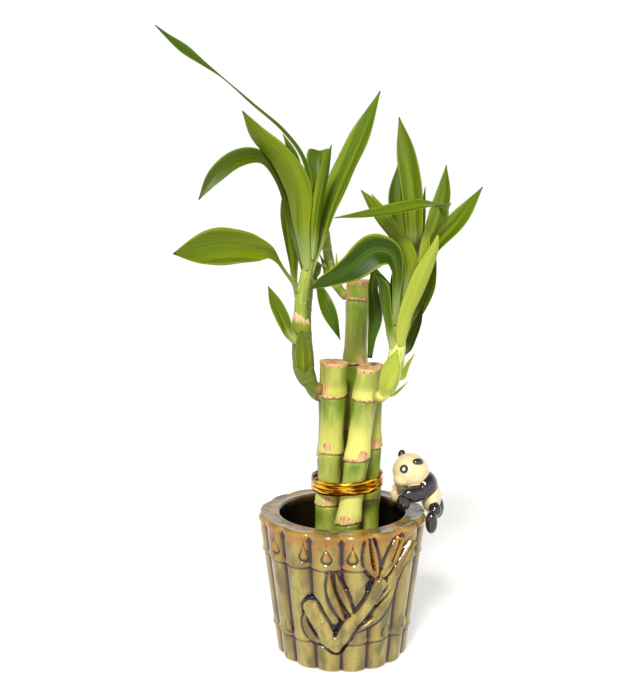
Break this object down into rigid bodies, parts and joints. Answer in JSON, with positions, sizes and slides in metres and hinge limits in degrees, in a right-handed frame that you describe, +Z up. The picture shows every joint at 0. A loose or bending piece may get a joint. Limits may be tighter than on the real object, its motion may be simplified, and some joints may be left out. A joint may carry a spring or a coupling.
{
  "type": "lucky bamboo",
  "caption": "Potted lucky bamboo: cut stalks tied with gold foil, arching leafy shoots, in a glazed bamboo-look ceramic pot with a small panda climbing its rim.",
  "frame": {"origin": "centre of the pot's flat underside", "axes": "+Z up along the pot's axis; -Y towards the front, the side with the branch in relief; +X towards the panda"},
  "size_m": [0.1687, 0.0924, 0.3416],
  "materials": {
    "olive_glaze": "glossy glazed ceramic, olive and amber",
    "cream_glaze": "glossy glazed ceramic, cream and black",
    "gold_foil": "bright gold foil",
    "stalk_green": "smooth waxy cane, satin",
    "shoot_green": "smooth young stem, satin",
    "bright_leaf": "waxy leaf, semi-gloss",
    "deep_leaf": "waxy leaf, semi-gloss",
    "pale_sheath": "pale clasping leaf, semi-gloss"
  },
  "bodies": {
    "root": {"gold_tie": "gold_foil", "left_leaf_arching": "bright_leaf", "left_leaf_bright": "bright_leaf", "left_leaf_broad": "bright_leaf", "left_leaf_centre": "bright_leaf", "left_leaf_curled": "bright_leaf", "left_leaf_drooping": "bright_leaf", "left_leaf_long": "bright_leaf", "left_leaf_low": "bright_leaf", "left_leaf_short": "bright_leaf", "left_leaf_side": "bright_leaf", "left_sheath_front": "deep_leaf", "left_sheath_side": "pale_sheath", "panda": "cream_glaze", "pot": "olive_glaze", "right_leaf_behind": "bright_leaf", "right_leaf_bent": "bright_leaf", "right_leaf_clasping": "pale_sheath", "right_leaf_deep": "deep_leaf", "right_leaf_hanging": "deep_leaf", "right_leaf_heart": "pale_sheath", "right_leaf_inner": "bright_leaf", "right_leaf_level": "bright_leaf", "right_leaf_lower": "deep_leaf", "right_leaf_outward": "bright_leaf", "right_leaf_rear_tip": "bright_leaf", "right_leaf_small": "bright_leaf", "right_leaf_strip": "bright_leaf", "right_leaf_strip_behind": "bright_leaf", "right_leaf_upright": "bright_leaf", "right_leaf_yellow": "bright_leaf", "right_sheath_front": "pale_sheath", "right_sheath_low": "pale_sheath", "right_sheath_outer": "pale_sheath", "shoot_back_left": "shoot_green", "shoot_front_left": "shoot_green", "shoot_front_right": "shoot_green", "shoot_right": "shoot_green", "shoot_tall": "shoot_green", "stalk_back_left": "stalk_green", "stalk_front_left": "stalk_green", "stalk_front_right": "stalk_green", "stalk_right": "stalk_green", "stalk_tall": "stalk_green", "tall_leaf_drooping": "bright_leaf", "tall_sheath_left": "pale_sheath", "tall_sheath_right": "pale_sheath"}
  },
  "joints": []
}
